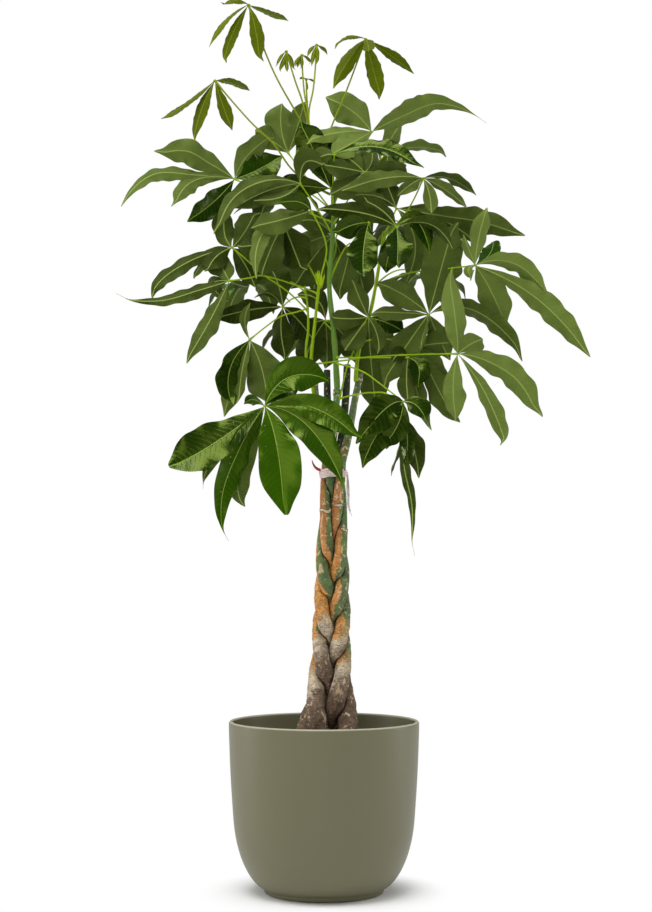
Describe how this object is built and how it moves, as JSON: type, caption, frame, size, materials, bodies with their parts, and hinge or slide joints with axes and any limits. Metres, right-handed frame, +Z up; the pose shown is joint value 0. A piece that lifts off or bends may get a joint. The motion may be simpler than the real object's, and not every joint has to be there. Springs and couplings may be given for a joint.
{
  "type": "potted money tree",
  "caption": "Money tree with braided trunks tied at the top, long-stalked hand-shaped leaves, standing in soil in a round rimless pot.",
  "frame": {"origin": "middle of the pot's underside, on the surface that the pot stands on", "axes": "+Z up along the pot's axis; the front looks along -Y; +X to the right as seen from the front"},
  "size_m": [0.6164, 0.3891, 1.1733],
  "materials": {
    "pot_ceramic": "matte",
    "soil": "matte",
    "bark": "matte",
    "green_bark": "satin",
    "tie_cloth": "matte",
    "grown_leaf": "satin",
    "young_leaf": "satin"
  },
  "bodies": {
    "root": {"pot": "pot_ceramic", "soil": "soil", "trunk_left": "bark", "trunk_centre": "green_bark", "trunk_rear_right": "bark", "trunk_right": "bark", "trunk_rear_left": "bark", "tie": "tie_cloth", "leafy_shoot_left": "grown_leaf", "leafy_shoot_outer_left": "grown_leaf", "leafy_shoot_centre": "grown_leaf", "leafy_shoot_right": "grown_leaf", "leaves_low_right": "grown_leaf", "leaf_low_left": "grown_leaf", "young_shoot_top": "young_leaf", "young_leaf_left": "young_leaf"}
  },
  "joints": []
}
